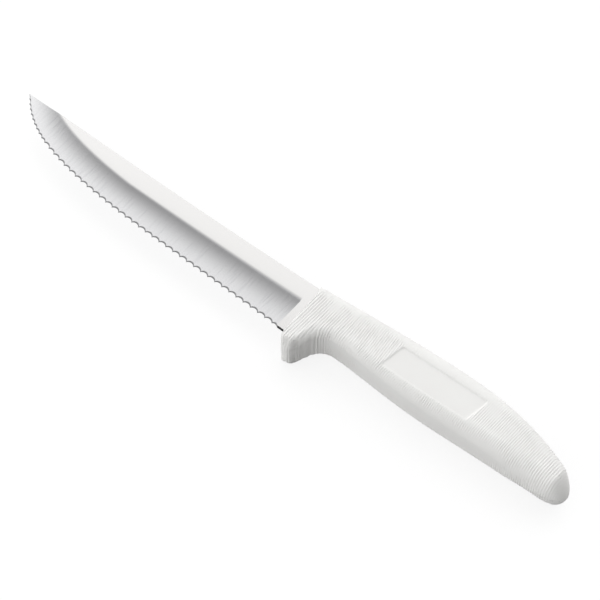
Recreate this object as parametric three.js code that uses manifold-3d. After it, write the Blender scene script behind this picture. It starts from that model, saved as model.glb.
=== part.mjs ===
// A serrated utility knife lying on its side, in millimetres.
// The tip points to -X, the cutting edge to -Y, and the side of the grip with the panel looks up (+Z).
// Two pieces: a hollow-ground blade with a scalloped edge and a hidden tang,
// and a grip moulded round that tang.
import * as THREE from 'three';
import Module from 'manifold-3d';

const wasm = await Module();
wasm.setup();

// While modelling, x is 0 where the spine enters the grip, y is 0 on the line of the tooth tips,
// and z is 0 in the middle of the blade's thickness.
const clearance = 0.3; // left between blade and grip

// Blade outline
const bladeLength = 153.1; // tip to grip, along the spine
const bladeThickness = 2;
const heelWidth = 23.1; // edge line to spine at the grip
const tipHeight = 20.6; // tip above the edge line
const spinePullReach = 59.3; // the spine sags a little towards this point
const spinePullHeight = 20.6;
const bellyStart = 63.3; // where the edge begins to rise, from the grip
const bellyPull = 48;
const tipPull = 22;
const tipAngle = 52; // of the edge at the tip, in degrees

// Hollow grind
const flatBand = 8; // left flat below the spine
const leastBand = 0.25; // of it at the tip, where the grind reaches the spine
const leastBandShare = 0.25; // and never more than this share of the blade's width there
const grindWidth = 12.4; // at least this far up from the edge
const edgeThickness = 0.4; // left by the grind
const hollowPower = 3; // of the hollow's curve: 1 is a plain wedge
const ricassoLength = 3.5; // unground strip before the grip, at the spine
const ricassoRise = 0.4; // its lower side above the tooth tips
const plungeRun = 0.15; // length of the slope that ends the grind
const hollowRows = 5;

// Scallops
const scallopPitch = 3.58;
const scallopDepth = 1;
const heelScallopSpan = 2.3; // the first one, at the heel, is short
const tipScallopPitch = 2.65; // finer round the tip
const tipScallops = 10;
const scallopSegments = 6;
const bevelWidth = 0.55; // small bevel on the upper face
const widestBevelShare = 0.33; // of the blade's width, close to the tip
const apexHeight = 0.05; // the sharp line lies this far above the middle of the thickness
const fluteAtTooth = 0.8; // height of the flutes ground into the lower face
const fluteAtGullet = 2;

// Tang inside the grip
const tangLength = 88;
const tangHeight = 12;
const tangCover = 2.1; // plastic left between it and the finger recess
const tangCorner = 4;
const tangHole = 5;
const tangHoles = 3;
const tangHoleStart = 22;
const tangHolePitch = 26;
const tangOverlap = 2; // the tang starts this far inside the unground strip

// Grip, seen from the side
const gripLength = 122.4;
const topProud = 0.3; // the grip stands this far above the spine
const topFrontPullReach = 25.7;
const topFrontPullHeight = 25.7;
const crownReach = 70.7; // highest point of the back
const crownHeight = 28.3;
const crownPull = 20;
const topRearPull = 17.4; // back from the butt
const topRearPullHeight = 24.8;
const topAtButt = 17.4;
const guardTopHeight = -3; // the guard's front starts to curve back here
const guardTopPull = 2.7;
const guardReach = 6.9; // lowest point of the guard
const guardHeight = -7.3;
const guardFrontPull = 2.3;
const guardRearPull = 5;
const recessReach = 20.5; // highest point of the finger recess
const recessHeight = 6.1;
const recessFrontPull = 11.1;
const recessRearPull = 10.5;
const bellyReach = 58; // lowest point of the grip behind the recess
const bellyHeight = 4.7;
const bellyFrontPull = 15;
const bellyRearPull = 15;
const bottomRearPull = 33.6; // back from the butt
const bottomRearPullHeight = 6.7;
const bottomAtButt = 6.2;

// Front of the grip: the middle of the back reaches forward over the spine, the sides stand back
const frontSetBack = 2.9; // of the sides, level with the tooth tips
const frontLean = 0.031; // less of it for each millimetre up
const frontSweep = 4; // power of the curve that brings the front forward over the back
const frontRound = 0.7; // rounded rim
const frontRoundOnTop = 0.4; // less along the back, where the blade is flush

// Grip, in section
const gripThickness = 17.2;
const buttThinning = 0.7; // lost from each side towards the butt
const thinningStart = 85.7;
const backRound = 6.5; // height of the rounded back
const noseEdgeRound = 1; // rounding of the lower edges at the front,
const guardEdgeRound = 5; // under the guard,
const recessEdgeRound = 2.2; // in the finger recess
const buttEdgeRound = 6.5; // and at the butt
const guardEdgeReach = 4.5; // the guard's rounding is full here
const recessEdgeReach = 9; // and the recess's here
const steepestRound = 3; // on the recess's front slope the rounding grows up to this many times
const wideRoundStart = 95; // from here to the butt the rounding spreads over the whole belly
const widestRoundShare = 0.95;
const buttRound = 9; // length of the rounded end, seen from the side
const capRound = 7; // and seen from the back
const capPower = 1.7; // power of that curve: 2 is an ellipse, less is sharper where it starts
const arcSegments = 14;
const cornerSegments = 6;
const rimStations = 4;
const guardStations = 30;
const bodyStations = 20;
const buttStations = 12;
const slopeStep = 0.3; // the belly's slope is measured over this step each way

// Sunk panel on the upper side
const panelLength = 38;
const panelHeight = 11;
const panelDepth = 0.5;
const panelCorner = 1;
const panelCornerSegments = 4;
const panelLean = 12; // of its ends, in degrees
const panelTilt = 2.2; // of its long sides, in degrees
const panelReach = 59.7; // its middle
const panelRise = 14.8;

// Finish
const steelColor = 0xd3d5d8;
const steelRoughness = 0.3;
const plasticColor = 0xf1f0ec;
const plasticRoughness = 0.5;

const halvings = 40; // of the search for a point on a curve
const weldDigits = 4; // corners that agree to this many decimals are one

const degrees = THREE.MathUtils.degToRad;
const lerp = THREE.MathUtils.lerp;
const smoothstep = THREE.MathUtils.smoothstep;
const point = (x, y) => new THREE.Vector2(x, y);
const bezier = (...points) => new THREE.CubicBezierCurve(...points);

function chain(...curves) {
  const path = new THREE.CurvePath();
  curves.forEach((curve) => path.add(curve));
  return path;
}

// Height of a curve at x; along the curve x only grows or only falls.
function heightAt(curve, x) {
  const grows = curve.getPoint(1).x > curve.getPoint(0).x;
  let low = 0;
  let high = 1;
  for (let halving = 0; halving < halvings; halving += 1) {
    const middle = (low + high) / 2;
    if ((curve.getPoint(middle).x < x) === grows) low = middle;
    else high = middle;
  }
  return curve.getPoint(low).y;
}

// Skin over closed rings of equal point count, in order towards -X, closed by a fan to a pole at each end.
function loft(rings, firstPole, lastPole) {
  const count = rings[0].length;
  const corners = [...rings.flat(), firstPole, lastPole];
  const first = corners.length - 2;
  const last = corners.length - 1;
  const index = [];
  for (let side = 0; side < count; side += 1) {
    const next = (side + 1) % count;
    const end = (rings.length - 1) * count;
    index.push(first, next, side);
    index.push(last, end + side, end + next);
    for (let ring = 0; ring < end; ring += count) {
      index.push(ring + side, ring + next, ring + count + next);
      index.push(ring + side, ring + count + next, ring + count + side);
    }
  }
  const geometry = new THREE.BufferGeometry().setFromPoints(corners);
  geometry.setIndex(index);
  return geometry;
}

function solid(geometry) {
  const welded = new Map();
  const positions = [];
  const source = geometry.getAttribute('position');
  const order = geometry.index ? [...geometry.index.array] : [...Array(source.count).keys()];
  const triangles = order.map((vertex) => {
    const corner = [source.getX(vertex), source.getY(vertex), source.getZ(vertex)];
    const key = corner.map((value) => value.toFixed(weldDigits)).join(' ');
    if (!welded.has(key)) {
      welded.set(key, welded.size);
      positions.push(...corner);
    }
    return welded.get(key);
  });
  return new wasm.Manifold(new wasm.Mesh({
    numProp: 3,
    vertProperties: new Float32Array(positions),
    triVerts: new Uint32Array(triangles),
  }));
}

function geometryOf(body) {
  const mesh = body.getMesh();
  const geometry = new THREE.BufferGeometry();
  geometry.setAttribute('position', new THREE.BufferAttribute(mesh.vertProperties, 3));
  geometry.setIndex(new THREE.BufferAttribute(mesh.triVerts, 1));
  return geometry;
}

// Blade
const tip = point(-bladeLength, tipHeight);
const spine = new THREE.QuadraticBezierCurve(
  point(0, heelWidth),
  point(-spinePullReach, spinePullHeight),
  tip,
);
const edge = chain(
  new THREE.LineCurve(point(-ricassoLength, 0), point(-bellyStart, 0)),
  bezier(
    point(-bellyStart, 0),
    point(-bellyStart - bellyPull, 0),
    point(tipPull * Math.cos(degrees(tipAngle)), -tipPull * Math.sin(degrees(tipAngle))).add(tip),
    tip,
  ),
);

// One ring round the blade: up the upper face from the sharp line to the spine, and down the lower face.
function bladeRing(foot, spineX, rows, halfThickness) {
  const head = heightAt(spine, spineX);
  const at = (y, z) => new THREE.Vector3(lerp(foot.x, spineX, (y - foot.y) / (head - foot.y)), y, z);
  const upper = rows.upper.map((y) => at(y, halfThickness(y)));
  const lower = rows.lower.map((y) => at(y, -halfThickness(y)));
  return [at(foot.y, rows.apex), ...upper, ...lower.reverse()];
}

function faceRows(firstRow, grindLine, head) {
  const steps = [...Array(hollowRows + 1).keys()];
  return [...steps.map((step) => lerp(firstRow, grindLine, step / hollowRows)), head];
}

// Section through the ground part, some way along the edge; cut runs from 0 on a tooth to 1 in a gullet.
function groundRing(along, depth, cut) {
  const share = along / edge.getLength();
  const onEdge = edge.getPoint(share);
  const tangent = edge.getTangent(share);
  const foot = point(-tangent.y, tangent.x).multiplyScalar(-depth * cut).add(onEdge);
  const head = heightAt(spine, onEdge.x);
  const width = Math.max(grindWidth, head - flatBand - onEdge.y);
  const room = head - foot.y;
  const grindLine = Math.min(onEdge.y + width, head - Math.min(leastBand, room * leastBandShare));
  const hollow = (y) => Math.min(1, Math.max(0, (y - onEdge.y) / width)) ** hollowPower;
  const row = (height) => foot.y + Math.min(height, room * widestBevelShare);
  const rows = {
    apex: apexHeight,
    upper: faceRows(row(bevelWidth), grindLine, head),
    lower: faceRows(row(lerp(fluteAtTooth, fluteAtGullet, cut)), grindLine, head),
  };
  return bladeRing(foot, onEdge.x, rows, (y) => lerp(edgeThickness, bladeThickness, hollow(y)) / 2);
}

function plateRing(footX, spineX) {
  const head = heightAt(spine, spineX);
  const face = faceRows(ricassoRise, head - flatBand, head);
  const rows = { apex: 0, upper: face, lower: face };
  return bladeRing(point(footX, ricassoRise), spineX, rows, () => bladeThickness / 2);
}

// Every scallop is an arc cut into the edge; its depth follows its width.
function scallopRings(start, span) {
  const depth = scallopDepth * span / scallopPitch;
  const radius = (span ** 2 / 4 + depth ** 2) / (2 * depth);
  return [...Array(scallopSegments).keys()].map((segment) => {
    const across = (segment / scallopSegments - 0.5) * span;
    const cut = (Math.sqrt(radius ** 2 - across ** 2) - radius + depth) / depth;
    return groundRing(start + segment / scallopSegments * span, depth, cut);
  });
}

// Front of the grip in the middle of its thickness, where the shoulders of the blade stand before it.
const frontTop = heelWidth + topProud - frontRoundOnTop;
const frontFoot = frontSetBack - frontLean * guardTopHeight;
const frontX = (y) => lerp(0, frontFoot, (frontTop - y) / (frontTop - guardTopHeight));
const shoulderX = (y) => frontX(y) - clearance;

const plungeStart = plungeRun - ricassoLength;
const tipStart = edge.getLength() - tipScallops * tipScallopPitch;
const mainScallops = Math.round((tipStart - heelScallopSpan) / scallopPitch);
const mainSpan = (tipStart - heelScallopSpan) / mainScallops;
const bladeRings = [
  plateRing(shoulderX(ricassoRise), shoulderX(heelWidth)),
  plateRing(plungeStart, plungeStart),
  ...scallopRings(0, heelScallopSpan),
];
for (let scallop = 0; scallop < mainScallops; scallop += 1) {
  bladeRings.push(...scallopRings(heelScallopSpan + scallop * mainSpan, mainSpan));
}
for (let scallop = 0; scallop < tipScallops; scallop += 1) {
  bladeRings.push(...scallopRings(tipStart + scallop * tipScallopPitch, tipScallopPitch));
}
const shoulderMiddle = new THREE.Vector3(shoulderX(heelWidth / 2), heelWidth / 2, 0);
const bladeBody = loft(bladeRings, shoulderMiddle, new THREE.Vector3(tip.x, tip.y, 0));

const tangRise = recessHeight + tangCover;

function plateOf(shape, depth, curveSegments) {
  return new THREE.ExtrudeGeometry(shape, { depth, bevelEnabled: false, curveSegments });
}

// Tang plate with its lock holes; room is added all round it for the cavity in the grip.
function tangPlate(startX, room) {
  const left = startX;
  const right = tangLength + room;
  const low = tangRise - room;
  const high = tangRise + tangHeight + room;
  const corner = tangCorner + room;
  const shape = new THREE.Shape();
  shape.moveTo(left, low);
  shape.lineTo(right - corner, low);
  shape.absarc(right - corner, low + corner, corner, -Math.PI / 2, 0, false);
  shape.lineTo(right, high - corner);
  shape.absarc(right - corner, high - corner, corner, 0, Math.PI / 2, false);
  shape.lineTo(left, high);
  for (let hole = 0; hole < tangHoles; hole += 1) {
    const ring = new THREE.Path();
    const middle = tangHoleStart + hole * tangHolePitch;
    ring.absarc(middle, tangRise + tangHeight / 2, tangHole / 2 - room, 0, 2 * Math.PI, true);
    shape.holes.push(ring);
  }
  const depth = bladeThickness + 2 * room;
  return plateOf(shape, depth, arcSegments).translate(0, 0, -depth / 2);
}

const blade = solid(bladeBody).add(solid(tangPlate(-tangOverlap, 0)));

// Grip
const back = chain(
  bezier(
    point(0, heelWidth + topProud),
    point(topFrontPullReach, topFrontPullHeight),
    point(crownReach - crownPull, crownHeight),
    point(crownReach, crownHeight),
  ),
  bezier(
    point(crownReach, crownHeight),
    point(crownReach + crownPull, crownHeight),
    point(gripLength - topRearPull, topRearPullHeight),
    point(gripLength, topAtButt),
  ),
);
const belly = chain(
  bezier(
    point(frontSetBack, guardTopHeight),
    point(frontSetBack, guardTopHeight - guardTopPull),
    point(guardReach - guardFrontPull, guardHeight),
    point(guardReach, guardHeight),
  ),
  bezier(
    point(guardReach, guardHeight),
    point(guardReach + guardRearPull, guardHeight),
    point(recessReach - recessFrontPull, recessHeight),
    point(recessReach, recessHeight),
  ),
  bezier(
    point(recessReach, recessHeight),
    point(recessReach + recessRearPull, recessHeight),
    point(bellyReach - bellyFrontPull, bellyHeight),
    point(bellyReach, bellyHeight),
  ),
  bezier(
    point(bellyReach, bellyHeight),
    point(bellyReach + bellyRearPull, bellyHeight),
    point(gripLength - bottomRearPull, bottomRearPullHeight),
    point(gripLength, bottomAtButt),
  ),
);

// Stations run from 0 at the front, wherever that is on the section, to the length of the grip at the butt.
const onBelly = (station) => lerp(frontSetBack, gripLength, station / gripLength);
const stationAt = (x) => (x - frontSetBack) / (1 - frontSetBack / gripLength);
const quarter = (count) => [...Array(count).keys()].map((step) => step / count * Math.PI / 2);
const between = (from, to, count) => [...Array(count).keys()].map((step) => lerp(from, to, step / count));
const buttStart = gripLength - buttRound;
const recessShare = belly.getCurveLengths()[1] / belly.getLength();
const guardRun = between(0, recessShare, guardStations).map((share) => stationAt(belly.getPoint(share).x));
const gripStations = [
  ...quarter(rimStations).map((angle) => frontRound * (1 - Math.cos(angle))),
  ...guardRun.filter((station) => station > frontRound),
  ...between(stationAt(recessReach), buttStart, bodyStations),
  ...quarter(buttStations).map((angle) => buttStart + buttRound * Math.sin(angle)),
];

// Share of a width that is left this far from a rounded end.
function taper(left, length, power) {
  return (1 - Math.max(0, 1 - left / length) ** power) ** (1 / power);
}

function edgeRound(station) {
  const front = lerp(noseEdgeRound, guardEdgeRound, smoothstep(station, 0, guardEdgeReach));
  const rear = lerp(recessEdgeRound, buttEdgeRound, station / gripLength);
  return lerp(front, rear, smoothstep(station, guardEdgeReach, recessEdgeReach));
}

// Section of the grip: flat sides between a rounded back and a flat belly with rounded edges.
function gripRing(station) {
  const rim = 1 - taper(station, frontRound, 2);
  const tall = taper(gripLength - station, buttRound, 2);
  const wide = taper(gripLength - station, capRound, capPower);
  const thinning = buttThinning * smoothstep(station, thinningStart, gripLength);
  const half = (gripThickness / 2 - thinning - frontRound * rim) * wide;
  const top = heightAt(back, station) - frontRoundOnTop * rim;
  const bottom = heightAt(belly, onBelly(station));
  const middle = (top + bottom) / 2;
  const reach = (top - bottom) / 2 * tall;
  const ahead = heightAt(belly, onBelly(station) + slopeStep);
  const slope = (ahead - heightAt(belly, onBelly(station) - slopeStep)) / (2 * slopeStep);
  const steepness = slope > 0 ? Math.min(steepestRound, Math.hypot(1, slope)) : 1;
  const topRound = Math.min(backRound * tall, reach);
  const lowRound = Math.min(edgeRound(station) * tall * steepness, reach);
  const spread = smoothstep(station, wideRoundStart, buttStart);
  const sideRound = Math.min(lerp(edgeRound(station) * tall, half, spread), half * widestRoundShare);
  const at = (y, z, setBackShare) => {
    const front = (frontSetBack - frontLean * y) * setBackShare;
    return new THREE.Vector3(lerp(front, gripLength, station / gripLength), y, z);
  };
  const turns = (angle, count) => [...Array(count + 1).keys()].map((segment) => segment / count * angle);
  const over = turns(Math.PI, arcSegments).map((angle) => at(
    middle + reach - topRound * (1 - Math.sin(angle)),
    half * Math.cos(angle),
    Math.cos(angle) ** frontSweep,
  ));
  const corner = (side) => turns(Math.PI / 2, cornerSegments).map((angle) => at(
    middle - reach + lowRound * (1 - Math.sin(angle)),
    side * (half - sideRound * (1 - Math.cos(angle))),
    1,
  ));
  return [...over, ...corner(-1), ...corner(1).reverse()];
}

const gripRings = gripStations.map(gripRing).reverse();
const frontMiddle = new THREE.Vector3(frontX(heelWidth / 2), heelWidth / 2, 0);
const buttMiddle = new THREE.Vector3(gripLength, (topAtButt + bottomAtButt) / 2, 0);
const gripBody = loft(gripRings, buttMiddle, frontMiddle);

function panelPocket() {
  const lean = panelHeight / 2 * Math.tan(degrees(panelLean));
  const half = panelLength / 2;
  const side = panelHeight / 2;
  const corners = [
    point(-half - lean, -side),
    point(half - lean, -side),
    point(half + lean, side),
    point(-half + lean, side),
  ];
  const shape = new THREE.Shape();
  corners.forEach((corner, number) => {
    const before = corners[(number + 3) % 4].clone().sub(corner).setLength(panelCorner).add(corner);
    const after = corners[(number + 1) % 4].clone().sub(corner).setLength(panelCorner).add(corner);
    if (number === 0) shape.moveTo(before.x, before.y);
    else shape.lineTo(before.x, before.y);
    shape.quadraticCurveTo(corner.x, corner.y, after.x, after.y);
  });
  const pocket = plateOf(shape, 2 * panelDepth, panelCornerSegments);
  pocket.rotateZ(degrees(panelTilt));
  return pocket.translate(panelReach, panelRise, gripThickness / 2 - panelDepth);
}

const handle = solid(gripBody)
  .subtract(solid(panelPocket()))
  .subtract(solid(tangPlate(-tangOverlap, clearance)));

// Assembly, standing on the flat of the grip and centred over the origin
const knife = new THREE.Group();
knife.name = 'utility_knife';

function addPiece(name, body, color, metalness, roughness) {
  const material = new THREE.MeshStandardMaterial({ color, metalness, roughness });
  const mesh = new THREE.Mesh(geometryOf(body), material);
  mesh.name = name;
  knife.add(mesh);
}

addPiece('blade', blade, steelColor, 1, steelRoughness);
addPiece('handle', handle, plasticColor, 0, plasticRoughness);

const bounds = new THREE.Box3().setFromObject(knife);
const centre = bounds.getCenter(new THREE.Vector3());
knife.children.forEach((mesh) => mesh.geometry.translate(-centre.x, -centre.y, -bounds.min.z));

export default knife;
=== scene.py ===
import math

import bpy
import numpy as np
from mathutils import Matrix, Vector, noise


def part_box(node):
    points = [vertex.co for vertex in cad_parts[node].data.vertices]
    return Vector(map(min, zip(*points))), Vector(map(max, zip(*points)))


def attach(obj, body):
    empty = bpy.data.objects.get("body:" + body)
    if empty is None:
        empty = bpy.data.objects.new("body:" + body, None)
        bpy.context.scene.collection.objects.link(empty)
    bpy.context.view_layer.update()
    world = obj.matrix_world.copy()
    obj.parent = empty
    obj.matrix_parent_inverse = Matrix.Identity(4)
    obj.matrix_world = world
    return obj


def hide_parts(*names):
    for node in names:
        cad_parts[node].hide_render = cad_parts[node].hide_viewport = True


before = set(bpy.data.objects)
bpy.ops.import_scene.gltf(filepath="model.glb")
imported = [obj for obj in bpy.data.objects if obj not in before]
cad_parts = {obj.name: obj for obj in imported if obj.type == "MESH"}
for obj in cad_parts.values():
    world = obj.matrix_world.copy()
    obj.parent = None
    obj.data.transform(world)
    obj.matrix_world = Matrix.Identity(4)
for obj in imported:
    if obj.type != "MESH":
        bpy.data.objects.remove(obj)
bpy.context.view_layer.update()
bladeLow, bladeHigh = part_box("blade")
mm = 0.001
print("frame loaded:", sorted(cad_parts))

# Shapes are worked out in millimetres: x is 0 where the spine enters the grip, y is 0 on the tooth tips,
# z is 0 in the middle of the blade. The datum carries them into the frame.
bladeReach = 153.1
datum = np.array([bladeLow.x + bladeReach * mm, bladeLow.y, (bladeLow.z + bladeHigh.z) / 2])


# Curves and meshes

def bezierPoints(corners, count=240):
    t = np.linspace(0, 1, count)[:, None]
    points = [np.array(corner, float)[None, :] for corner in corners]
    while len(points) > 1:
        points = [a * (1 - t) + b * t for a, b in zip(points, points[1:])]
    return points[0]


def chainPoints(*parts):
    return np.concatenate([parts[0]] + [part[1:] for part in parts[1:]])


def heightAt(path, x):
    ordered = path if path[0, 0] < path[-1, 0] else path[::-1]
    return np.interp(x, ordered[:, 0], ordered[:, 1])


def smooth(low, high, x):
    t = np.clip((np.asarray(x, float) - low) / (high - low), 0, 1)
    return t * t * (3 - 2 * t)


def mix(a, b, t):
    return a + (b - a) * t


def softNoise(grid, size, seed):
    # noise in -1..1 at the points of a grid, with features of one size in millimetres
    values = [noise.noise(Vector((x / size[0], y / size[1], z / size[2])) + Vector((seed, 0, 0)))
              for x, y, z in grid.reshape(-1, 3)]
    return np.array(values).reshape(grid.shape[:2])


def skinMesh(name, rings, firstPole, lastPole):
    # quads over rings of equal length, closed by a fan at each end
    ringCount, rowCount = rings.shape[:2]
    vertices = np.concatenate([rings.reshape(-1, 3), [firstPole, lastPole]]) * mm + datum
    faces = []
    first, last = ringCount * rowCount, ringCount * rowCount + 1
    for row in range(rowCount):
        after = (row + 1) % rowCount
        end = (ringCount - 1) * rowCount
        faces.append((first, after, row))
        faces.append((last, end + row, end + after))
        for start in range(0, end, rowCount):
            faces.append((start + row, start + after, start + rowCount + after, start + rowCount + row))
    mesh = bpy.data.meshes.new(name)
    mesh.from_pydata(vertices.tolist(), [], faces)
    mesh.shade_smooth()
    mesh.update()
    piece = bpy.data.objects.new(name, mesh)
    bpy.context.scene.collection.objects.link(piece)
    return piece


# Materials

def linear(hexColour):
    # sRGB hex to the linear colour that a shader socket takes
    parts = [int(hexColour[i:i + 2], 16) / 255 for i in (1, 3, 5)]
    return tuple(c / 12.92 if c <= 0.04045 else ((c + 0.055) / 1.055) ** 2.4 for c in parts) + (1.0,)


def addNode(tree, kind, settings=None, **links):
    # one node: settings go to its fields or its sockets, links join other nodes' outputs to its sockets
    node = tree.nodes.new(kind)
    for key, value in (settings or {}).items():
        if hasattr(node, key):
            setattr(node, key, value)
        else:
            node.inputs[int(key) if key.isdigit() else key].default_value = value
    for key, output in links.items():
        socket = key.replace("_", " ").strip()
        tree.links.new(output, node.inputs[int(socket) if socket.isdigit() else socket])
    return node


def newMaterial(name):
    material = bpy.data.materials.new(name)
    material.use_nodes = True
    material.node_tree.nodes.clear()
    return material, material.node_tree


noiseLow, noiseHigh = 0.3, 0.7  # nearly all values of a noise texture lie between these

steel = {
    "rolled": "#cccbca",  # the flat band, left as the strip was rolled
    "ground": "#c8c8c9",
    "groundDepth": (0.004, 0.06),  # mm below the flat band
    "roughness": 0.2, "roughnessSpread": 0.02,
    "grindLine": 0.22, "grindLength": 7.0,  # mm between and along the marks of the grinding belt
    "relief": 0.04, "reliefDepth": 0.01,  # strength, and mm
    "streak": (0.8, 11.0),  # mm across and along, coarser than the real streaks so that they show
    "streaked": "#bfbfc1", "streakShare": (0.5, 0.8),
    "shearedWithPaintedShade": ("#2e2e30", "#3c3c3e", 0.6),  # two colours, near black as painted shade for the underside, and the roughness
    # the bevel of the teeth: coarse ground and rougher, with colours darkened as painted shade along the
    # edge
    "teethWithPaintedShade": ("#98989a", "#a8a8aa", 0.5),
}


def groundSteel():
    # Stainless strip, belt ground across the blade and left satin: fine lines from spine to edge
    # break the reflection a little, so it is soft along the blade and shows no sharp image.
    material, tree = newMaterial("stainless steel, satin ground")
    place = addNode(tree, "ShaderNodeTexCoord")
    lines = addNode(tree, "ShaderNodeMapping",
                    {"Scale": (1 / (steel["grindLine"] * mm), 1 / (steel["grindLength"] * mm), 0.0)},
                    Vector=place.outputs["Object"])
    marks = addNode(tree, "ShaderNodeTexNoise", {"Scale": 1.0, "Detail": 3.0, "Roughness": 0.6},
                    Vector=lines.outputs["Vector"])
    gloss = addNode(tree, "ShaderNodeMapRange",
                    {"From Min": noiseLow, "From Max": noiseHigh,
                     "To Min": steel["roughness"] - steel["roughnessSpread"],
                     "To Max": steel["roughness"] + steel["roughnessSpread"]}, Value=marks.outputs["Fac"])
    relief = addNode(tree, "ShaderNodeBump",
                     {"Strength": steel["relief"], "Distance": steel["reliefDepth"] * mm},
                     Height=marks.outputs["Fac"])
    spot = addNode(tree, "ShaderNodeSeparateXYZ", Vector=place.outputs["Object"])
    height = addNode(tree, "ShaderNodeMath", {"operation": "SUBTRACT", "1": datum[2]}, _0=spot.outputs["Z"])
    height = addNode(tree, "ShaderNodeMath", {"operation": "ABSOLUTE"}, _0=height.outputs[0])
    top = blade["thickness"] / 2
    shallow, deep = steel["groundDepth"]
    share = addNode(tree, "ShaderNodeMapRange",
                    {"From Min": (top - shallow) * mm, "From Max": (top - deep) * mm},
                    Value=height.outputs[0])
    streaks = addNode(tree, "ShaderNodeMapping",
                      {"Scale": (1 / (steel["streak"][0] * mm), 1 / (steel["streak"][1] * mm), 0.0)},
                      Vector=place.outputs["Object"])
    streaks = addNode(tree, "ShaderNodeTexNoise", {"Scale": 1.0, "Detail": 2.0},
                      Vector=streaks.outputs["Vector"])
    streaks = addNode(tree, "ShaderNodeMapRange",
                      {"From Min": steel["streakShare"][0], "From Max": steel["streakShare"][1]},
                      Value=streaks.outputs["Fac"])
    ground = addNode(tree, "ShaderNodeMix", {"data_type": "RGBA", "6": linear(steel["ground"]),
                                             "7": linear(steel["streaked"])}, _0=streaks.outputs["Result"])
    tint = addNode(tree, "ShaderNodeMix", {"data_type": "RGBA", "6": linear(steel["rolled"])},
                   _0=share.outputs["Result"], _7=ground.outputs["Result"])
    surface = addNode(tree, "ShaderNodeBsdfPrincipled", {"Metallic": 1.0}, Base_Color=tint.outputs["Result"],
                      Roughness=gloss.outputs["Result"], Normal=relief.outputs["Normal"])
    addNode(tree, "ShaderNodeOutputMaterial", Surface=surface.outputs["BSDF"])
    return material


def roughSteelWithPaintedShade(name, dark, light, roughness):
    # Steel that the fine belt never reached, torn by the shear or coarse ground: it scatters the light.
    # Its colours are painted shade, darker than the steel, for the shade and dark reflections on these
    # faces.
    material, tree = newMaterial(name)
    place = addNode(tree, "ShaderNodeTexCoord")
    torn = addNode(tree, "ShaderNodeTexNoise", {"Scale": 1 / (steel["grindLine"] * mm), "Detail": 3.0},
                   Vector=place.outputs["Object"])
    shade = addNode(tree, "ShaderNodeMix", {"data_type": "RGBA", "6": linear(dark), "7": linear(light)},
                    _0=torn.outputs["Fac"])
    surface = addNode(tree, "ShaderNodeBsdfPrincipled", {"Metallic": 1.0, "Roughness": roughness},
                      Base_Color=shade.outputs["Result"])
    addNode(tree, "ShaderNodeOutputMaterial", Surface=surface.outputs["BSDF"])
    return material


plastic = {
    "colour": "#f1f1ef",
    "shade": "#edecea",
    "roughness": 0.5, "smoother": 0.05, "rougher": 0.07, "ior": 1.49,
    "grain": 0.35,  # mm, spark-eroded mould grain
    "relief": 0.15, "reliefDepth": 0.02,  # strength, and mm
    "blotch": 9.0,  # mm, faint flow clouds
}


def mouldedPlastic():
    # White polypropylene from a fine-textured mould: a soft broad sheen, a slight grain,
    # and faint clouds where the melt flowed.
    material, tree = newMaterial("polypropylene, textured moulding")
    place = addNode(tree, "ShaderNodeTexCoord")
    clouds = addNode(tree, "ShaderNodeTexNoise", {"Scale": 1 / (plastic["blotch"] * mm), "Detail": 2.0},
                     Vector=place.outputs["Object"])
    grain = addNode(tree, "ShaderNodeTexNoise", {"Scale": 1 / (plastic["grain"] * mm), "Detail": 2.0},
                    Vector=place.outputs["Object"])
    tint = addNode(tree, "ShaderNodeMix", {"data_type": "RGBA", "6": linear(plastic["colour"]),
                                           "7": linear(plastic["shade"])}, _0=clouds.outputs["Fac"])
    gloss = addNode(tree, "ShaderNodeMapRange",
                    {"From Min": noiseLow, "From Max": noiseHigh,
                     "To Min": plastic["roughness"] - plastic["smoother"],
                     "To Max": plastic["roughness"] + plastic["rougher"]}, Value=grain.outputs["Fac"])
    relief = addNode(tree, "ShaderNodeBump",
                     {"Strength": plastic["relief"], "Distance": plastic["reliefDepth"] * mm},
                     Height=grain.outputs["Fac"])
    surface = addNode(tree, "ShaderNodeBsdfPrincipled", {"IOR": plastic["ior"]},
                      Base_Color=tint.outputs["Result"], Roughness=gloss.outputs["Result"],
                      Normal=relief.outputs["Normal"])
    addNode(tree, "ShaderNodeOutputMaterial", Surface=surface.outputs["BSDF"])
    return material


# Blade

blade = {
    "length": bladeReach, "thickness": 2, "heelWidth": 23.1, "tipHeight": 20.6, "spinePull": (-59.3, 20.6),
    "bellyStart": 63.3, "bellyPull": 48, "tipPull": 22, "tipAngle": 52,
    "flatBand": 8, "leastBand": 0.25, "bandShare": 0.25,  # the band may take a share of a narrow blade
    "grindWidth": 12.4, "edgeThickness": 0.4, "hollowPower": 3,
    "grindFilletHeel": 2, "grindFilletTip": 1.4, "filletChange": 0.5,  # share of the length
    "ricasso": 3.5, "ricassoRise": 0.4, "plunge": 0.15, "intoGrip": 4.5,
    "scallopPitch": 3.58, "scallopDepth": 1, "heelSpan": 2.3, "tipPitch": 2.65, "tipScallops": 10,
    "tipShallow": 0.65, "tipFadeRun": 20, "tipFade": 2.5,  # the scallops get shallower towards the point
    "bevel": 0.55, "apex": 0.05, "fluteTooth": 0.8, "fluteGullet": 2.0, "roomPerBevel": 3,
    "spineRound": 0.08, "spineShare": 0.4, "leastRow": 0.002, "leastRoom": 0.25,
    "edgePoints": (60, 600), "edgeStep": 0.05, "steps": 12,  # steps in each scallop
    "bevelRows": (0.5, 0.94, 1.06), "hollowStart": 1.4, "hollowRows": 20, "filletRows": 8,
    "bandRows": 5, "bandEnd": 0.04, "spineSteps": 4, "plungeRings": (0.6, 0.05, 0),
    "crease": 28, "facingDown": 0.95,
}

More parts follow.
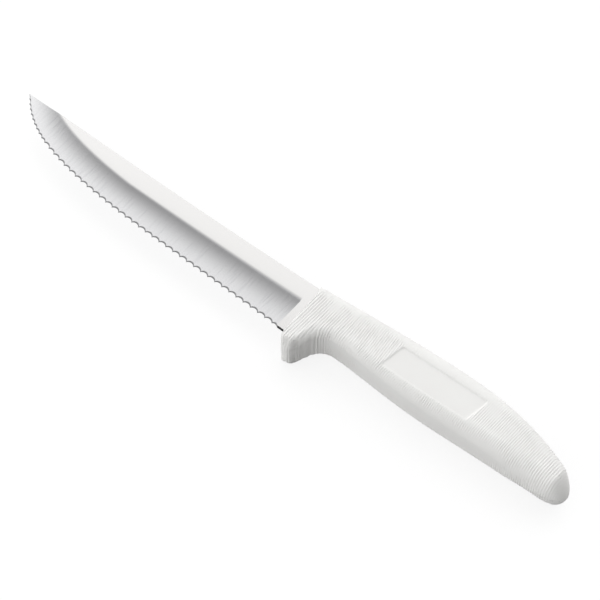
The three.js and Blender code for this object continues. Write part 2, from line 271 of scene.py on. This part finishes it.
spine = bezierPoints([(0, blade["heelWidth"]), blade["spinePull"], (-blade["length"], blade["tipHeight"])])
tip = np.array([-blade["length"], blade["tipHeight"]])
tipTurn = math.radians(blade["tipAngle"])
edge = chainPoints(
    bezierPoints([(-blade["ricasso"], 0), (-blade["bellyStart"], 0)], blade["edgePoints"][0]),
    bezierPoints([(-blade["bellyStart"], 0), (-blade["bellyStart"] - blade["bellyPull"], 0),
                  tip + blade["tipPull"] * np.array([math.cos(tipTurn), -math.sin(tipTurn)]), tip],
                 blade["edgePoints"][1]))
edgeSteps = np.linalg.norm(np.diff(edge, axis=0), axis=1)
edgeRun = np.concatenate([[0], np.cumsum(edgeSteps)])


def onEdge(along):
    # the place at a distance along the line of the tooth tips
    return np.array([np.interp(along, edgeRun, edge[:, 0]), np.interp(along, edgeRun, edge[:, 1])])


def rowsUp(foot, head, bevel, grindLine, fillet):
    # heights of the rows on one face, from the sharp line to the start of the rounded spine
    low, high = grindLine - fillet / 2, grindLine + fillet / 2
    rows = np.concatenate([
        [foot],
        foot + bevel * np.array(blade["bevelRows"]),
        np.linspace(foot + bevel * blade["hollowStart"], low, blade["hollowRows"]),
        np.linspace(low, high, blade["filletRows"] + 1)[1:],
        np.linspace(high, head - blade["spineRound"] - blade["bandEnd"], blade["bandRows"] + 1)[1:],
        [head - blade["spineRound"]],
    ])
    top = head - blade["spineRound"] - blade["leastRow"] * np.arange(len(rows))[::-1]
    return np.maximum.accumulate(np.maximum(np.minimum(rows, top), foot))


def halfThickness(y, edgeY, width, fillet):
    # hollow ground: a curve that runs into the flat band through a soft fillet
    full, thin = blade["thickness"], blade["edgeThickness"]
    share = np.clip((y - edgeY) / width, 0, 1)
    low = 1 - fillet / 2 / width
    power = blade["hollowPower"]
    slope = (full - thin) / 2 * power * low ** (power - 1) / width
    joined = full / 2 - slope * fillet / 2
    hollow = joined - (full - thin) / 2 * (low ** power - share ** power)
    toFlat = np.clip(edgeY + width + fillet / 2 - y, 0, None)
    return np.where(share < low, hollow, full / 2 - slope * toFlat ** 2 / (2 * fillet))


def bladeRing(foot, spineX, head, upper, lower, zUpper, zLower, apex):
    # from the sharp line up one face, over the rounded spine and down the other
    turn = np.linspace(0, math.pi / 2, blade["spineSteps"])
    top, bottom = zUpper[-1], zLower[-1]
    soft = min(blade["spineRound"], blade["spineShare"] * (top + bottom))
    start = head - blade["spineRound"]
    overUpper = [(start + blade["spineRound"] * math.sin(a), top - soft * (1 - math.cos(a)))
                 for a in turn[1:]]
    overLower = [(start + blade["spineRound"] * math.sin(a), -bottom + soft * (1 - math.cos(a)))
                 for a in turn[:0:-1]]
    flat = list(zip(upper, zUpper)) + overUpper + overLower + list(zip(lower[:0:-1], -zLower[:0:-1]))
    flat[0] = (foot[1], apex)
    flat = np.array(flat)
    x = mix(foot[0], spineX, np.clip((flat[:, 0] - foot[1]) / (head - foot[1]), 0, 1))
    return np.column_stack([x, flat])


def groundRing(along, depth, cut):
    # one section of the ground blade; cut is 0 on a tooth and 1 at the bottom of a scallop
    place = onEdge(along)
    ahead = onEdge(min(along + blade["edgeStep"], edgeRun[-1])) - onEdge(max(along - blade["edgeStep"], 0))
    ahead /= np.linalg.norm(ahead)
    head = heightAt(spine, place[0])
    left = smooth(0, blade["tipFade"], head - place[1])  # the last scallop fades out at the point
    foot = place + depth * cut * left * np.array([ahead[1], -ahead[0]])
    foot[1] = min(foot[1], head - blade["leastRoom"])
    width = max(blade["grindWidth"], head - blade["flatBand"] - place[1])
    room = head - foot[1]
    fillet = mix(blade["grindFilletHeel"], blade["grindFilletTip"],
                 min(1, -place[0] / (blade["length"] * blade["filletChange"])))
    grindLine = min(place[1] + width, head - min(blade["leastBand"], room * blade["bandShare"]))
    bevel = min(blade["bevel"], room / blade["roomPerBevel"])
    flute = min(mix(blade["fluteTooth"], blade["fluteGullet"], cut), room / blade["roomPerBevel"])
    faces = []
    for rise in (bevel, flute):
        rows = rowsUp(foot[1], head, rise, grindLine, fillet)
        z = halfThickness(rows, place[1], width, fillet)
        ground = rows < foot[1] + rise
        start = blade["apex"] if rise == bevel else -blade["apex"]
        zRise = halfThickness(np.array([foot[1] + rise]), place[1], width, fillet)[0]
        z = np.where(ground, mix(start, zRise, (rows - foot[1]) / rise), z)
        faces.append((rows, z))
    (upper, zUpper), (lower, zLower) = faces
    return bladeRing(foot, place[0], head, upper, lower, zUpper, zLower, blade["apex"])


def plateRing(x):
    # the unground strip before the grip
    head = heightAt(spine, x)
    grindLine = head - blade["flatBand"]
    rows = rowsUp(blade["ricassoRise"], head, blade["bevel"], grindLine, blade["grindFilletHeel"])
    z = np.full(len(rows), blade["thickness"] / 2)
    rows[1] = rows[0]  # the underside is flat and square
    return bladeRing((x, blade["ricassoRise"]), x, head, rows, rows, z, z, 0)


def makeBlade():
    tipStart = edgeRun[-1] - blade["tipScallops"] * blade["tipPitch"]
    run = tipStart - blade["heelSpan"]
    count = round(run / blade["scallopPitch"])
    spans = [(0, blade["heelSpan"])]
    spans += [(blade["heelSpan"] + i * run / count, run / count) for i in range(count)]
    spans += [(tipStart + i * blade["tipPitch"], blade["tipPitch"]) for i in range(blade["tipScallops"])]
    heel = blade["plunge"] - blade["ricasso"]
    rings = [plateRing(blade["intoGrip"])]
    rings += [plateRing(heel + step) for step in blade["plungeRings"]]
    for start, span in spans:
        depth = blade["scallopDepth"] * span / blade["scallopPitch"]
        depth *= mix(1, blade["tipShallow"], smooth(tipStart - blade["tipFadeRun"], edgeRun[-1], start))
        radius = (span ** 2 / 4 + depth ** 2) / (2 * depth)
        for step in range(blade["steps"]):
            across = (step / blade["steps"] - 0.5) * span
            cut = (math.sqrt(radius ** 2 - across ** 2) - radius + depth) / depth
            rings.append(groundRing(start + step / blade["steps"] * span, depth, cut))
    shoulder = (blade["intoGrip"], blade["heelWidth"] / 2, 0)
    piece = skinMesh("blade_steel", np.array(rings), shoulder, (tip[0], tip[1], 0))
    piece.data.set_sharp_from_angle(angle=math.radians(blade["crease"]))
    piece.data.materials.append(groundSteel())
    piece.data.materials.append(roughSteelWithPaintedShade("stainless steel, sheared edge", *steel["shearedWithPaintedShade"]))
    piece.data.materials.append(roughSteelWithPaintedShade("stainless steel, coarse ground teeth", *steel["teethWithPaintedShade"]))
    shadedUndersideSlot, shadedTeethSlot = 1, 2
    bevelRows = (0, 1)
    heelX = datum[0] - blade["ricasso"] * mm
    perRow = len(rings) + 1  # faces that skinMesh makes along each row
    for face in piece.data.polygons:
        # the bevel of the teeth: rough steel, darkened as painted shade to draw a dark line along the edge
        if face.center.x < heelX and face.index // perRow in bevelRows:
            face.material_index = shadedTeethSlot
        # the flat underside before the grip: rough sheared steel, painted near black as shade
        elif face.normal.y < -blade["facingDown"] and face.center.x > heelX:
            face.material_index = shadedUndersideSlot
    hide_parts("blade")
    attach(piece, "root")
    print("blade made:", len(piece.data.vertices), "points,", len(spans), "scallops")


# Grip

grip = {
    "length": 122.4,
    "back": [[(0, 23.4), (25.7, 25.7), (50.7, 28.3), (70.7, 28.3)],
             [(70.7, 28.3), (90.7, 28.3), (105, 24.8), (122.4, 17.4)]],
    "belly": [[(2.9, -3), (2.95, -5.7), (4.6, -7.3), (6.9, -7.3)],
              [(6.9, -7.3), (11.9, -7.3), (9.4, 6.1), (20.5, 6.1)],
              [(20.5, 6.1), (31, 6.1), (43, 4.7), (58, 4.7)],
              [(58, 4.7), (73, 4.7), (88.8, 6.7), (122.4, 6.2)]],
    "setBack": 2.9, "lean": 0.031, "sweepPower": 4,  # of the side rims behind the spine's entry
    "thickness": 17.2, "buttThinning": 0.7, "thinningStart": 85.7,
    "backRound": 6.5, "steepestRound": 3, "leastFlat": 0.05, "slopeStep": 0.3,
    "noseEdge": 1, "guardEdge": 5, "recessEdge": 3.4, "buttEdge": 6.5,  # rounding of the lower edges
    "guardRun": 4.5, "recessRun": 9, "roundStart": 95,
    "frontRound": 0.3, "frontRoundOnTop": 0.3, "frontPole": 1.32,
    "buttRound": 9, "capRound": 6.2, "capPower": 1.3,
    "capRoundBelow": 4.4, "capPowerBelow": 1.6,  # the end is fuller on the far side
    "step": 0.15, "rimSteps": 15, "buttSteps": 90, "arcSteps": 26, "sideRows": 10, "underRows": 7,
}
panel = {
    "length": 38, "height": 11, "depth": 0.32, "corner": 1, "lean": 12, "tilt": 2.2,
    "middle": (59.7, 14.8), "wall": 0.7,
    "wallRows": 7, "wallSpread": 1.1, "floorRows": 9,
    "lowLimits": (0.05, 0.4), "highLimits": (0.6, 0.98),  # shares of the flat side for its two long edges
    "lowRows": (0.003, 0.49), "highRows": (0.51, 0.997),
}
ribs = {
    "pitch": [(0, 1.06), (35, 0.92), (85, 0.87), (100, 0.88), (115, 1.0)],  # reach and pitch
    "tilt": [(0, -2), (18, -1.5), (28, 5.5), (36, 6), (60, 4), (80, -2.5), (115, -3.5)],  # and degrees
    "tiltHeight": 14,  # the height at which a tilted rib keeps its place
    "height": [(0, 0.24), (40, 0.25), (85, 0.17), (92, 0.22), (115, 0.25)],  # reach and full height
    "smoothRim": 1.3, "rimFade": (0.3, 0.4),
    "onBack": 0.25, "onBelly": 0.2,  # share of the height there
    "inRecess": 0.85, "recessFade": (18, 34), "onButt": 0.9, "buttFade": (85, 110),
    "onCap": 0.25, "capFade": 2.5, "abovePanel": 0.3, "belowPanel": 0.75, "panelFade": 2,
    "sideTurn": (0.3, 0.95), "underTurn": (0.2, 0.8),  # normals at which the sides and the underside begin
    "underStart": 30, "underReach": 60,  # under the recess the ribs are counted along the belly
    "wander": 0.08, "wanderSize": (6.0, 5.0, 5.0), "wanderSeed": 3.1,  # in turns, and mm
    "even": 0.85, "uneven": 0.9, "limits": (0.1, 1.6),
    "patchSize": (7.0, 4.0, 4.0), "patchSeed": 11.7,
    "breakSize": (1.3, 2.2, 2.2), "breakSeed": 5.3, "breakFade": (50, 95),
    "countFrom": -30, "countTo": 180, "countStep": 0.1,
}
backLine = chainPoints(*[bezierPoints(corners) for corners in grip["back"]])
bellyLine = chainPoints(*[bezierPoints(corners) for corners in grip["belly"]])
bellySteps = np.linalg.norm(np.diff(bellyLine, axis=0), axis=1)
bellyRun = np.concatenate([[0], np.cumsum(bellySteps)])


def gripStations():
    # even steps along the belly, so that the steep recess gets as many sections as it needs
    buttStart = grip["length"] - grip["buttRound"]
    quarter = np.linspace(0, math.pi / 2, grip["rimSteps"])[:-1]
    rim = grip["frontRound"] * (1 - np.cos(quarter))
    reach = (bellyLine[:, 0] - grip["setBack"]) / (1 - grip["setBack"] / grip["length"])
    ends = np.interp([grip["frontRound"], buttStart], reach, bellyRun)
    body = np.interp(np.arange(ends[0], ends[1], grip["step"]), bellyRun, reach)
    turn = np.linspace(0, math.pi / 2, grip["buttSteps"])[:-1]
    return np.concatenate([rim, body, buttStart + grip["buttRound"] * np.sin(turn)])


def panelShare(x, y):
    # 1 inside the sunk panel, 0 outside, with a sloped wall between
    tilt = math.radians(panel["tilt"])
    dx, dy = x - panel["middle"][0], y - panel["middle"][1]
    along = dx * math.cos(tilt) + dy * math.sin(tilt)
    across = dy * math.cos(tilt) - dx * math.sin(tilt)
    along = along - across * math.tan(math.radians(panel["lean"]))
    u = np.abs(along) - panel["length"] / 2 + panel["corner"]
    v = np.abs(across) - panel["height"] / 2 + panel["corner"]
    outside = np.hypot(np.maximum(u, 0), np.maximum(v, 0)) + np.minimum(np.maximum(u, v), 0)
    return smooth(-panel["wall"] / 2, panel["wall"] / 2, panel["corner"] - outside)


def capShare(xs, reach, power):
    # share of the thickness that is left in the rounded end
    into = np.clip(1 - (grip["length"] - xs) / reach, 0, 1)
    return (1 - into ** power) ** (1 / power)


def sideShares(xs, sideLow, sideHigh):
    # rows of the near side, as shares of its height: they gather at the long edges of the panel
    tilt = math.tan(math.radians(panel["tilt"]))
    half = panel["length"] / 2
    inPanel = np.clip(xs, panel["middle"][0] - half, panel["middle"][0] + half)
    room = np.interp(inPanel, xs, sideHigh - sideLow)
    floor = np.interp(inPanel, xs, sideLow)
    centre = panel["middle"][1] + (inPanel - panel["middle"][0]) * tilt
    lowEdge = np.clip((centre - panel["height"] / 2 - floor) / room, *panel["lowLimits"])
    highEdge = np.clip((centre + panel["height"] / 2 - floor) / room, *panel["highLimits"])
    wall = panel["wall"] * panel["wallSpread"] / room
    offsets = np.linspace(-1, 1, panel["wallRows"])
    shares = [np.zeros_like(xs)]
    shares += [np.clip(lowEdge + offset * wall, *panel["lowRows"]) for offset in offsets]
    shares += [mix(lowEdge + wall, highEdge - wall, share)
               for share in np.linspace(0, 1, panel["floorRows"])[1:-1]]
    shares += [np.clip(highEdge + offset * wall, *panel["highRows"]) for offset in offsets]
    return np.maximum.accumulate(np.array(shares), axis=0)


def gripGrid(xs):
    # sections of the grip: flat sides between a rounded back and a rounded belly
    buttStart = grip["length"] - grip["buttRound"]
    rim = 1 - np.sqrt(1 - np.clip(1 - xs / grip["frontRound"], 0, 1) ** 2)
    end = np.sqrt(1 - np.clip((xs - buttStart) / grip["buttRound"], 0, 1) ** 2)
    cap = capShare(xs, grip["capRound"], grip["capPower"])
    fuller = capShare(xs, grip["capRoundBelow"], grip["capPowerBelow"]) / cap
    towardsButt = smooth(grip["thinningStart"], grip["length"], xs)
    half = (grip["thickness"] / 2 - grip["buttThinning"] * towardsButt - grip["frontRound"] * rim) * cap
    top = heightAt(backLine, xs) - grip["frontRoundOnTop"] * rim
    behind = grip["setBack"] + xs * (1 - grip["setBack"] / grip["length"])
    bottom = heightAt(bellyLine, behind)
    middle, reach = (top + bottom) / 2, (top - bottom) / 2 * end
    step = grip["slopeStep"]
    slope = (heightAt(bellyLine, behind + step) - heightAt(bellyLine, behind - step)) / (2 * step)
    mostRound = reach * (1 - grip["leastFlat"])
    topRound = np.minimum(grip["backRound"] * end, mostRound)
    guardEdge = mix(grip["noseEdge"], grip["guardEdge"], smooth(0, grip["guardRun"], xs))
    rearEdge = mix(grip["recessEdge"], grip["buttEdge"], xs / grip["length"])
    edgeRound = mix(guardEdge, rearEdge, smooth(grip["guardRun"], grip["recessRun"], xs)) * end
    steepness = np.where(slope > 0, np.minimum(grip["steepestRound"], np.hypot(1, slope)), 1)
    lowRound = np.minimum(edgeRound * steepness, mostRound)
    sideRound = np.minimum(mix(edgeRound, half, smooth(grip["roundStart"], buttStart, xs)), half)
    sideLow, sideHigh = middle - reach + lowRound, middle + reach - topRound
    shares = sideShares(xs, sideLow, sideHigh)
    columns = [(mix(sideLow, sideHigh, share), half, 1) for share in shares]
    for angle in np.linspace(0, math.pi, grip["arcSteps"] + 1):
        columns.append((middle + reach - topRound * (1 - math.sin(angle)), half * math.cos(angle),
                        math.cos(angle) ** grip["sweepPower"]))
    for share in np.linspace(1, 0, grip["sideRows"] + 1)[1:-1]:
        columns.append((mix(sideLow, sideHigh, share), -half, 1))
    corner = np.linspace(0, math.pi / 2, grip["arcSteps"] // 2 + 1)
    under = [(sideLow - lowRound * math.sin(a), sideRound * (1 - math.cos(a)) - half) for a in corner]
    flat = [(sideLow - lowRound, (half - sideRound) * share)
            for share in np.linspace(-1, 1, grip["underRows"])[1:-1]]
    over = [(y, -z) for y, z in under[:0:-1]]
    columns += [(y, z, 1) for y, z in under + flat + over]
    rings = []
    for y, z, swept in columns:
        z = np.where(z < 0, z * fuller, z)
        front = (grip["setBack"] - grip["lean"] * y) * swept
        rings.append(np.stack([front + xs * (1 - front / grip["length"]), y, z], axis=1))
    return np.stack(rings, axis=1)


def gridNormals(grid):
    # outward normals; rows that meet in one point have none
    along = np.gradient(grid, axis=0)
    around = np.roll(grid, -1, axis=1) - np.roll(grid, 1, axis=1)
    normal = np.cross(along, around)
    return normal / np.maximum(np.linalg.norm(normal, axis=2, keepdims=True), 1e-9)


def addRibs(grid):
    # fine cross ribs over the grip, weaker on its round parts and beside the panel, and the sunk panel
    normal = gridNormals(grid)
    x, y, z = grid[:, :, 0], grid[:, :, 1], grid[:, :, 2]
    tilt = np.tan(np.radians(np.interp(x, *zip(*ribs["tilt"]))))
    buttStart = grip["length"] - grip["buttRound"]
    into = np.clip((x - buttStart) / grip["buttRound"], 0, 1)
    run = np.where(x < buttStart, x, buttStart + grip["buttRound"] * np.arcsin(into))
    run = run + (y - ribs["tiltHeight"]) * tilt * np.abs(normal[:, :, 2])
    start = ribs["underStart"]
    under = np.interp(x, bellyLine[:, 0], bellyRun) - np.interp(start, bellyLine[:, 0], bellyRun) + start
    facingDown = smooth(*ribs["underTurn"], -normal[:, :, 1]) * (x < ribs["underReach"])
    run = mix(run, under, facingDown)
    reach = np.arange(ribs["countFrom"], ribs["countTo"], ribs["countStep"])
    turns = np.interp(run, reach, np.cumsum(ribs["countStep"] / np.interp(reach, *zip(*ribs["pitch"]))))
    wander = softNoise(grid, ribs["wanderSize"], ribs["wanderSeed"])
    patchy = softNoise(grid, ribs["patchSize"], ribs["patchSeed"])
    broken = softNoise(grid, ribs["breakSize"], ribs["breakSeed"]) * (1 - smooth(*ribs["breakFade"], x))
    wave = np.cos(2 * math.pi * (turns + ribs["wander"] * wander)) / 2
    flatness = smooth(*ribs["sideTurn"], np.abs(normal[:, :, 2]))
    below = mix(ribs["onBelly"], ribs["inRecess"], 1 - smooth(*ribs["recessFade"], x))
    onRound = np.where(normal[:, :, 1] > 0, ribs["onBack"], below)
    onRound = mix(onRound, ribs["onButt"], smooth(*ribs["buttFade"], x))
    worn = np.clip(ribs["even"] + ribs["uneven"] * patchy + ribs["uneven"] * broken, *ribs["limits"])
    strength = mix(onRound, 1.0, flatness) * worn
    before, after = ribs["rimFade"]
    strength = strength * smooth(ribs["smoothRim"] - before, ribs["smoothRim"] + after, x)
    capStart = grip["length"] - grip["capRound"]
    strength = strength * mix(1, ribs["onCap"], smooth(capStart, capStart + ribs["capFade"], x))
    aside = (y - panel["middle"][1]) * math.tan(math.radians(panel["lean"]))
    beyond = np.abs(x - panel["middle"][0] - aside) - panel["length"] / 2
    beside = np.where(y > panel["middle"][1], ribs["abovePanel"], ribs["belowPanel"])
    strength = strength * mix(beside, 1, smooth(-ribs["panelFade"], ribs["panelFade"], beyond))
    inside = np.where(z > 0, panelShare(x, y), 0)
    lift = np.interp(x, *zip(*ribs["height"])) * strength * wave * (1 - inside)
    sunk = np.maximum(0, z - (grip["thickness"] / 2 - panel["depth"])) * inside
    out = grid + normal * lift[:, :, None]
    out[:, :, 2] -= sunk
    return out


def makeGrip():
    xs = gripStations()
    grid = addRibs(gripGrid(xs))
    front = (grip["frontPole"], blade["heelWidth"] / 2, 0)
    butt = (grip["length"], (grip["back"][-1][-1][1] + grip["belly"][-1][-1][1]) / 2, 0)
    piece = skinMesh("grip_moulding", grid[::-1], butt, front)
    piece.data.materials.append(mouldedPlastic())
    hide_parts("handle")
    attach(piece, "root")
    print("grip made:", len(piece.data.vertices), "points,", len(xs), "sections")


# Studio

studio = {
    "floorSize": 12.0, "floorDrop": 0.0002,  # m
    "floorLight": 0.82, "floorColour": "#808080",
    "level": 3.494, "slope": (-3.547, 0.424, -1.499),  # light falls off away from the left
    "least": 0.03, "most": 1.889,
    "gap": (-0.366, -0.218, 0.905), "gapEdge": (0.492, 0.998), "gapLight": 0.096,  # dim part overhead
    "backdrop": 1.0, "backdropEdge": (0.6, 0.77),  # white, and the heights where it meets the light
}
view = {
    "azimuth": 39.762, "elevation": 58, "distance": 0.6922, "lens": 109.0, "sensor": 36.0,
    "target": (-4.18, 14.94, 0),  # mm from the datum
}


def seenRays(tree):
    # 1 for what the camera sees, straight or in metal
    rays = addNode(tree, "ShaderNodeLightPath")
    seen = addNode(tree, "ShaderNodeMath", {"operation": "MAXIMUM"},
                   _0=rays.outputs["Is Camera Ray"], _1=rays.outputs["Is Glossy Ray"])
    return addNode(tree, "ShaderNodeMath", {"operation": "MAXIMUM"},
                   _0=seen.outputs[0], _1=rays.outputs["Is Transmission Ray"])


def makeFloor():
    # White paper, matt: no gloss, and a soft shadow under the knife.
    size = studio["floorSize"] / 2
    mesh = bpy.data.meshes.new("floor")
    corners = [(-size, -size, 0), (size, -size, 0), (size, size, 0), (-size, size, 0)]
    mesh.from_pydata(corners, [], [(0, 1, 2, 3)])
    floor = bpy.data.objects.new("floor", mesh)
    floor.location = (0, 0, -studio["floorDrop"])
    bpy.context.scene.collection.objects.link(floor)
    material, tree = newMaterial("paper floor, matt")
    glow = addNode(tree, "ShaderNodeMath", {"operation": "MULTIPLY", "1": studio["floorLight"]},
                   _0=seenRays(tree).outputs[0])
    paper = addNode(tree, "ShaderNodeBsdfDiffuse", {"Color": linear(studio["floorColour"])})
    white = addNode(tree, "ShaderNodeEmission", {"Color": (1, 1, 1, 1)}, Strength=glow.outputs[0])
    both = addNode(tree, "ShaderNodeAddShader", _0=paper.outputs[0], _1=white.outputs[0])
    addNode(tree, "ShaderNodeOutputMaterial", Surface=both.outputs[0])
    mesh.materials.append(material)


def makeLight():
    # A broad soft light from the left with a dim part overhead; low down there is a white backdrop.
    world = bpy.data.worlds.new("soft studio")
    bpy.context.scene.world = world
    world.use_nodes = True
    tree = world.node_tree
    tree.nodes.clear()
    where = addNode(tree, "ShaderNodeTexCoord")
    fall = addNode(tree, "ShaderNodeVectorMath", {"operation": "DOT_PRODUCT", "1": studio["slope"]},
                   _0=where.outputs["Generated"])
    level = addNode(tree, "ShaderNodeMath", {"operation": "ADD", "1": studio["level"]},
                    _0=fall.outputs["Value"])
    level = addNode(tree, "ShaderNodeMath", {"operation": "MAXIMUM", "1": studio["least"]},
                    _0=level.outputs[0])
    towards = addNode(tree, "ShaderNodeVectorMath", {"operation": "DOT_PRODUCT", "1": studio["gap"]},
                      _0=where.outputs["Generated"])
    gap = addNode(tree, "ShaderNodeMapRange",
                  {"interpolation_type": "SMOOTHSTEP", "From Min": studio["gapEdge"][0],
                   "From Max": studio["gapEdge"][1], "To Min": 1.0, "To Max": studio["gapLight"]},
                  Value=towards.outputs["Value"])
    light = addNode(tree, "ShaderNodeMath", {"operation": "MULTIPLY"},
                    _0=level.outputs[0], _1=gap.outputs["Result"])
    light = addNode(tree, "ShaderNodeMath", {"operation": "MINIMUM", "1": studio["most"]},
                    _0=light.outputs[0])
    height = addNode(tree, "ShaderNodeSeparateXYZ", Vector=where.outputs["Generated"])
    low = addNode(tree, "ShaderNodeMapRange",
                  {"interpolation_type": "SMOOTHSTEP", "From Min": studio["backdropEdge"][0],
                   "From Max": studio["backdropEdge"][1], "To Min": 1.0, "To Max": 0.0},
                  Value=height.outputs["Z"])
    share = addNode(tree, "ShaderNodeMath", {"operation": "MULTIPLY"},
                    _0=low.outputs["Result"], _1=seenRays(tree).outputs[0])
    light = addNode(tree, "ShaderNodeMix", {"data_type": "FLOAT", "3": studio["backdrop"]},
                    _0=share.outputs[0], _2=light.outputs[0])
    sky = addNode(tree, "ShaderNodeBackground", {"Color": (1, 1, 1, 1)}, Strength=light.outputs[0])
    addNode(tree, "ShaderNodeOutputWorld", Surface=sky.outputs["Background"])


def makeCamera():
    data = bpy.data.cameras.new("camera")
    data.lens = view["lens"]
    data.sensor_width = view["sensor"]
    camera = bpy.data.objects.new("camera", data)
    bpy.context.scene.collection.objects.link(camera)
    azimuth, elevation = math.radians(view["azimuth"]), math.radians(view["elevation"])
    back = Vector((math.sin(azimuth) * math.cos(elevation), -math.cos(azimuth) * math.cos(elevation),
                   math.sin(elevation)))
    target = Vector(datum + np.array(view["target"]) * mm)
    camera.location = target + back * view["distance"]
    camera.rotation_euler = back.to_track_quat("Z", "Y").to_euler()
    bpy.context.scene.camera = camera


makeCamera()
makeFloor()
makeLight()
print("studio made")
makeBlade()
makeGrip()
bpy.context.scene.view_settings.view_transform = "Standard"
